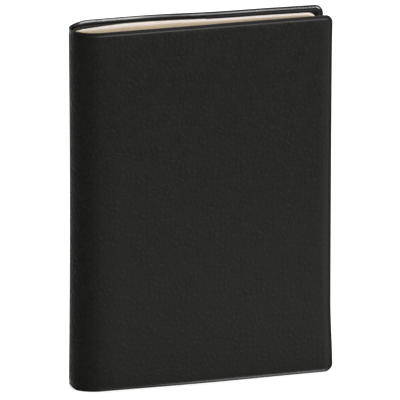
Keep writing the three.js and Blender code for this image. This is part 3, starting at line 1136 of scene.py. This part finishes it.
def film_material(name, ribs):
    m = Surface(name, daylight(30, 30, 29), 0.3, plain_gloss)
    flat = m.flat_map()
    in_mm = m.in_mm(flat)
    wide = m.noise(in_mm, 0.12)
    height = m.noise(in_mm, 2.2, 3, 0.6)
    rim = m.attribute("rim")
    length = m.math("ABSOLUTE", m.parts(flat)[0])
    to_edge = m.minus(cover_end[-1], length)
    on_band = m.minus(rim, m.ramp(length, *narrowing_part, 0, 0.2 * mm))
    band = m.times(m.ramp(on_band, *band_low), m.ramp(rim, *band_high, 1, 0), m.ramp(to_edge, *band_end))
    m.link(m.plus(plain_gloss, m.times(band, band_gloss)), "Specular IOR Level")
    m.link(m.plus(m.ramp(wide, 0.3, 0.7, 0.26, 0.4, "LINEAR"), m.times(band, -0.06)), "Roughness")
    if ribs:
        wave = m.add("ShaderNodeTexWave", {"Vector": in_mm, "Scale": 0.42}, bands_direction="DIAGONAL")
        on_weld = m.times(m.ramp(rim, *weld_low), m.ramp(rim, *weld_high, 1, 0))
        height = m.plus(height, m.times(wave.outputs["Fac"], on_weld, 2.5))
    colour = m.blend(wide, daylight(20, 20, 19), daylight(26, 26, 25))
    return m.finish(colour, height, 0.02 * mm, 0.6)


def foam_material():
    m = Surface("fine grey foam", daylight(88, 88, 90), 0.9, 0.2)
    inputs = {"Vector": m.place_in_mm(), "Scale": 4}
    cells = m.add("ShaderNodeTexVoronoi", inputs).outputs["Distance"]
    colour = m.blend(cells, daylight(60, 60, 62), daylight(105, 105, 108))
    return m.finish(colour, cells, 0.1 * mm, 0.8)


def give(pieces, material):
    for piece in pieces:
        piece.data.materials.clear()
        piece.data.materials.append(material)


give(skins.values(), skin_material())
give(linings.values(), film_material("smooth black lining", False))
give(flaps.values(), film_material("welded black flap", True))
give(foams.values(), foam_material())
print(len(bpy.data.materials), "materials so far")

# %% [markdown]
# Papers differ in tone. The pages towards the front are creamier than those towards the rear, and
# their cut edges are painted darker there as the shadow of the front cover. A page is ruled with fine grey lines
# and has a heavier line at its head. The cut edges are rougher than the faces and differ more in tone, and each
# leaf has a tone of its own.

# %% Pages
line_pitch = 6 * mm
line_thickness = 0.12 * mm
head_line_height = 137 * mm
margin = 7 * mm
# Painted shadow of the front cover: the tones over which the front pages' darker colour turns to the rear's.
shadow_edge_tone = (0.68, 0.84)
fore_edge_shadow_shift, fore_edge_shadow_part = 0.06, (29 * mm, 47 * mm)


def stripe(m, value, middle, thickness):
    """1 on a line of the given thickness, 0 away from it."""
    off = m.math("ABSOLUTE", m.minus(value, middle))
    return m.ramp(off, 0.35 * thickness, 0.65 * thickness, 1, 0)


def paper_colours_and_shadow(m, front, rear):
    """Creamier towards the front, and painted darker there as the front cover's shadow. Near the fore-edge the
    painted shadow reaches further back.
    """
    from_fold = m.parts(m.flat_map("page"))[0]
    tone = m.minus(m.attribute("tone"), m.ramp(from_fold, *fore_edge_shadow_part, 0, fore_edge_shadow_shift))
    return m.blend(m.ramp(tone, *shadow_edge_tone), front, rear)


def page_surface():
    m = Surface("ruled page", (1, 1, 1, 1), 0.75, 0.35, page_material)
    flat = m.flat_map("page")
    x, z, _ = m.parts(flat)
    fibre = m.group(paper_fibre, Map=flat)
    ruled = stripe(m, m.math("PINGPONG", z, line_pitch / 2), 0, line_thickness)
    under_head = m.math("LESS_THAN", z, head_line_height - line_pitch)
    above_foot = m.math("GREATER_THAN", z, 2 * line_pitch - line_thickness)
    lines = m.times(ruled, under_head, above_foot)
    head = stripe(m, z, head_line_height, 3 * line_thickness)
    ink = m.times(m.math("MAXIMUM", lines, head), m.math("GREATER_THAN", x, margin))
    paper = paper_colours_and_shadow(m, daylight(240, 228, 205), daylight(246, 240, 232))
    clouded = m.blend(m.times(fibre["Cloud"], 0.12), paper, daylight(226, 216, 196))
    inked = m.blend(m.times(ink, 0.55), clouded, daylight(120, 122, 128))
    m.finish(inked, fibre["Height"], 0.01 * mm, 0.5)


def cut_surface():
    m = Surface("cut page edge", (1, 1, 1, 1), 0.85, 0.25, cut_material)
    rough = m.noise(m.place_in_mm(), 3.5, 3, 0.6)
    # The front colour of the cut edges is cream darkened by a painted shadow of the front cover.
    paper = paper_colours_and_shadow(m, daylight(192, 167, 135), daylight(254, 245, 248))
    m.finish(m.blend(m.times(rough, 0.25), paper, daylight(196, 178, 150)), rough, 0.02 * mm, 0.7)


page_surface()
cut_surface()
print("pages ruled every", round(line_pitch / mm), "mm")

# %% [markdown]
# Card and endpapers are plain sheets whose fibre shows as a faint cloud. Of the binding only a little
# can be seen, in the hollow of the spine: the twist of the thread, the waves of the dried glue, and
# the open weave of the gauze, which is two sets of stripes.

# %% Card, endpapers and binding
def sheet_material(name, colour, cloud_colour, coarseness, roughness):
    m = Surface(name, colour, roughness, 0.3)
    fibre = m.group(paper_fibre, Map=m.flat_map(), Coarseness=coarseness)
    clouded = m.blend(m.times(fibre["Cloud"], 0.5), colour, cloud_colour)
    return m.finish(clouded, fibre["Height"], 0.015 * mm, 0.6)


def thread_material():
    m = Surface("waxed linen thread", daylight(232, 226, 210), 0.55, 0.4)
    inputs = {"Vector": m.place_in_mm(), "Scale": 1.1, "Distortion": 0.6}
    twist = m.add("ShaderNodeTexWave", inputs, bands_direction="DIAGONAL").outputs["Fac"]
    colour = m.blend(twist, daylight(198, 190, 170), daylight(238, 232, 218))
    return m.finish(colour, twist, 0.04 * mm, 0.9)


def glue_material():
    m = Surface("dried clear glue", daylight(224, 214, 188), 0.28, 0.5)
    waves = m.noise(m.place_in_mm(), 0.5, 3)
    m.link(m.ramp(waves, 0.3, 0.7, 0.2, 0.42), "Roughness")
    colour = m.blend(waves, daylight(206, 192, 160), daylight(236, 228, 206))
    return m.finish(colour, waves, 0.15 * mm, 0.5)


def gauze_material():
    m = Surface("open cotton gauze", daylight(226, 220, 204), 0.9, 0.2)
    place = m.parts(m.place_in_mm())
    threads = [m.math("ABSOLUTE", m.math("SINE", m.times(place[i], 3.6))) for i in (1, 2)]
    weave = m.math("MAXIMUM", *threads)
    colour = m.blend(m.ramp(weave, 0.55, 0.9), daylight(176, 164, 138), daylight(234, 229, 214))
    return m.finish(colour, weave, 0.08 * mm)


card = sheet_material("black refill card", daylight(44, 44, 43), daylight(36, 36, 35), 0.7, 0.8)
endpaper = sheet_material("cream endpaper", daylight(240, 233, 218), daylight(226, 216, 196), 1, 0.75)
give(cards.values(), card)
give([*endpapers.values(), *flyleaves.values()], endpaper)
thread, glue, gauze = thread_material(), glue_material(), gauze_material()
for node_name, piece in binding.items():
    give([piece], {"spine_glue": glue, "spine_gauze": gauze}.get(node_name, thread))
print(len(bpy.data.materials), "materials")

# %% [markdown]
# The light is that of a product photograph. A wide and low strip of light stands to the right of the
# camera. It lights the cover evenly, clears the edge of the front cover, and so reaches only the rear
# half of the pages. The left stays dim, and the round of the spine falls off towards it. A softbox
# above and behind lights the front half of the pages. The white that the camera sees round the diary
# hardly lights it.

# %% Lights, floor and background
def softbox(name, azimuth, elevation, distance, width, height, level):
    """A rectangular lamp that faces the diary. Azimuth 0 is straight in front, positive to the right."""
    side, lift = math.radians(azimuth), math.radians(elevation)
    middle = Vector((0, 0, cover_height / 2))
    out = Vector((math.sin(side) * math.cos(lift), -math.cos(side) * math.cos(lift), math.sin(lift)))
    lamp_data = bpy.data.lights.new(name, "AREA")
    lamp_data.shape = "RECTANGLE"
    lamp_data.size, lamp_data.size_y = width, height
    lamp_data.energy = level * math.pi * width * height
    lamp = add_object(name, lamp_data)
    lamp.location = middle + out * distance
    lamp.rotation_euler = (-out).to_track_quat("-Z", "Y").to_euler()
    return lamp


softbox("front strip", azimuth=27, elevation=14, distance=1.5, width=1.3, height=0.2, level=20)
softbox("top softbox", azimuth=150, elevation=76, distance=1.2, width=1.0, height=0.8, level=4.8)


def seen_or_lighting(n, seen, lighting):
    """seen for rays from the camera, mirrors and glass, lighting for all others."""
    ray = n.add("ShaderNodeLightPath").outputs
    direct = n.math("MAXIMUM", ray["Is Camera Ray"], ray["Is Glossy Ray"])
    share = n.math("MAXIMUM", direct, ray["Is Transmission Ray"])
    return n.plus(lighting, n.times(share, seen - lighting))


def cleared_nodes(owner):
    """The emptied node tree of a material or world, ready for more nodes."""
    owner.use_nodes = True
    owner.node_tree.nodes.clear()
    return Nodes(owner.node_tree)


world_light = 0.21
world = bpy.data.worlds.new("studio")
bpy.context.scene.world = world
n = cleared_nodes(world)
sky = {"Color": (1, 1, 1, 1), "Strength": seen_or_lighting(n, 1, world_light)}
n.add("ShaderNodeOutputWorld", {"Surface": n.add("ShaderNodeBackground", sky).outputs[0]})
n.arrange()

floor_size = 12
floor_glow = 0.66
half = floor_size / 2
corners = [(-half, -half, 0), (half, -half, 0), (half, half, 0), (-half, half, 0)]
floor_mesh = bpy.data.meshes.new("floor")
floor_mesh.from_pydata(corners, [], [(0, 1, 2, 3)])
floor = add_object("floor", floor_mesh)
floor_material = bpy.data.materials.new("white floor")
n = cleared_nodes(floor_material)
paint = n.add("ShaderNodeBsdfDiffuse", {"Color": (0.8, 0.8, 0.8, 1)}).outputs[0]
glow = {"Color": (1, 1, 1, 1), "Strength": seen_or_lighting(n, floor_glow, 0)}
both = n.add("ShaderNodeAddShader", {0: paint, 1: n.add("ShaderNodeEmission", glow).outputs[0]})
n.add("ShaderNodeOutputMaterial", {"Surface": both.outputs[0]})
n.arrange()
floor_mesh.materials.append(floor_material)
bpy.context.scene.view_settings.view_transform = "Standard"

# %% An import of json
import json
